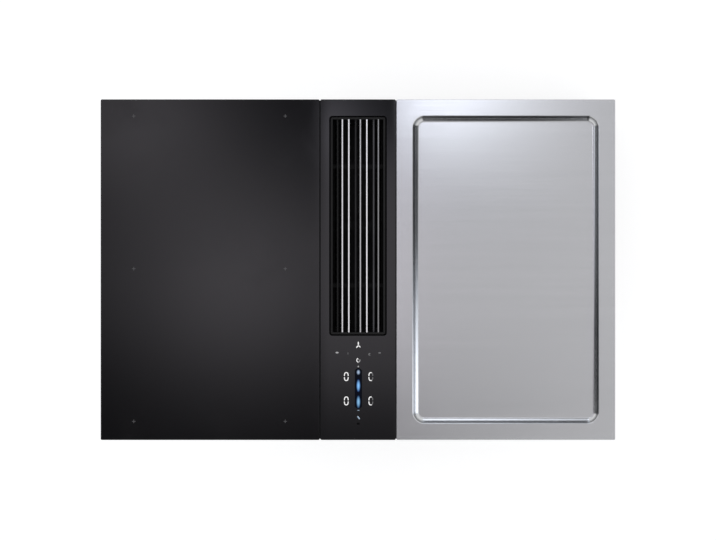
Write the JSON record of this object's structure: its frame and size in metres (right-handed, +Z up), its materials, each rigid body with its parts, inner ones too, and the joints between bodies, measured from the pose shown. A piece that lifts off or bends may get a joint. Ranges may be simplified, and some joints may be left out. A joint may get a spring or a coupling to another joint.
{
  "type": "downdraft cooktop",
  "caption": "Built-in cooktop: induction glass plate, slatted downdraft intake with touch controls, sunken steel griddle, and a blower with a flat duct outlet hung below",
  "frame": {"origin": "middle of the outline on the worktop's top face, under the foam tape", "axes": "+X to the right of the cook, +Y to the rear, +Z up"},
  "size_m": [0.778, 0.515, 0.1983],
  "materials": {
    "black_glass": "gloss",
    "griddle_steel": "satin",
    "sheet_steel": "satin",
    "spring_steel": "satin",
    "filter_steel": "satin",
    "bright_steel": "polished",
    "grille_black": "satin",
    "housing_plastic": "matte",
    "tray_plastic": "satin",
    "fan_plastic": "satin",
    "connector_plastic": "satin",
    "gland_plastic": "satin",
    "seal_rubber": "matte",
    "aluminium_sheet": "satin",
    "copper_wire": "satin",
    "ferrite_grey": "matte",
    "mica": "matte",
    "board_green": "satin",
    "capacitor_shell": "gloss",
    "sensor_metal": "satin",
    "heater_tube": "matte",
    "motor_metal": "satin",
    "light_guide_clear": "gloss",
    "display_dark": "gloss",
    "mineral_wool": "matte"
  },
  "bodies": {
    "cooktop": {"hob_glass": "black_glass", "extractor_panel": "black_glass", "griddle_plate": "griddle_steel", "hob_case": "sheet_steel", "griddle_case": "sheet_steel", "support_rails": "sheet_steel", "tray_runners": "sheet_steel", "coil_plate_posts": "sheet_steel", "heater_clamps": "sheet_steel", "cooling_fan_guard": "sheet_steel", "worktop_clips": "spring_steel", "clip_screws": "spring_steel", "flap_pin": "spring_steel", "motor_bearings": "spring_steel", "suction_box": "housing_plastic", "scroll_case": "housing_plastic", "scroll_lid": "housing_plastic", "intake_plenum": "housing_plastic", "duct_outlet": "housing_plastic", "control_case": "housing_plastic", "inlet_ring": "fan_plastic", "cooling_fan_frame": "fan_plastic", "control_sockets": "connector_plastic", "terminal_blocks": "connector_plastic", "coil_formers": "connector_plastic", "cable_glands": "gland_plastic", "worktop_seal": "seal_rubber", "joint_sealant": "seal_rubber", "plate_bonds": "seal_rubber", "panel_gasket": "seal_rubber", "tray_seal": "seal_rubber", "coil_plate": "aluminium_sheet", "heat_sink": "aluminium_sheet", "heat_spreader": "aluminium_sheet", "coils": "copper_wire", "coil_ferrites": "ferrite_grey", "chokes": "ferrite_grey", "mica_sheet": "mica", "power_board": "board_green", "touch_board": "board_green", "capacitors": "capacitor_shell", "coil_sensors": "sensor_metal", "griddle_probes": "sensor_metal", "heaters": "heater_tube", "fan_motor": "motor_metal", "light_guide": "light_guide_clear", "zone_displays": "display_dark", "insulation_mat": "mineral_wool"},
    "inlet_grille": {"grille_frame": "grille_black", "grille_slats": "grille_black", "slat_edges": "bright_steel"},
    "grease_filter": {"filter_tray": "filter_steel", "filter_mats": "filter_steel", "filter_handle": "filter_steel"},
    "drip_drawer": {"drip_tray": "tray_plastic"},
    "blower_wheel": {"impeller": "fan_plastic", "impeller_shaft": "spring_steel"},
    "cooling_rotor": {"cooling_fan_rotor": "fan_plastic"},
    "duct_flap": {"backflow_flap": "fan_plastic"}
  },
  "joints": [
    {"name": "grille_lift", "type": "slide", "parent": "cooktop", "child": "inlet_grille", "axis": [0, 0, 1], "range_m": [0, 0.25]},
    {"name": "filter_lift", "type": "slide", "parent": "cooktop", "child": "grease_filter", "axis": [0, 0, 1], "range_m": [0, 0.125]},
    {"name": "tray_slide", "type": "slide", "parent": "cooktop", "child": "drip_drawer", "axis": [0, -1, 0], "range_m": [0, 0.33]},
    {"name": "blower_spin", "type": "hinge", "parent": "cooktop", "child": "blower_wheel", "pos_m": [0.18975, 0.026, -0.184], "axis": [0, 0, 1], "continuous": true},
    {"name": "cooling_spin", "type": "hinge", "parent": "cooktop", "child": "cooling_rotor", "pos_m": [-0.2235, 0.13, -0.0433], "axis": [0, 0, 1], "continuous": true},
    {"name": "flap_swing", "type": "hinge", "parent": "cooktop", "child": "duct_flap", "pos_m": [0.32375, 0.15, -0.1195], "axis": [1, 0, 0], "range_deg": [0, 75]}
  ],
  "couplings": [
    {"joint": "filter_lift", "follows": "grille_lift", "ratio": 0.5}
  ]
}
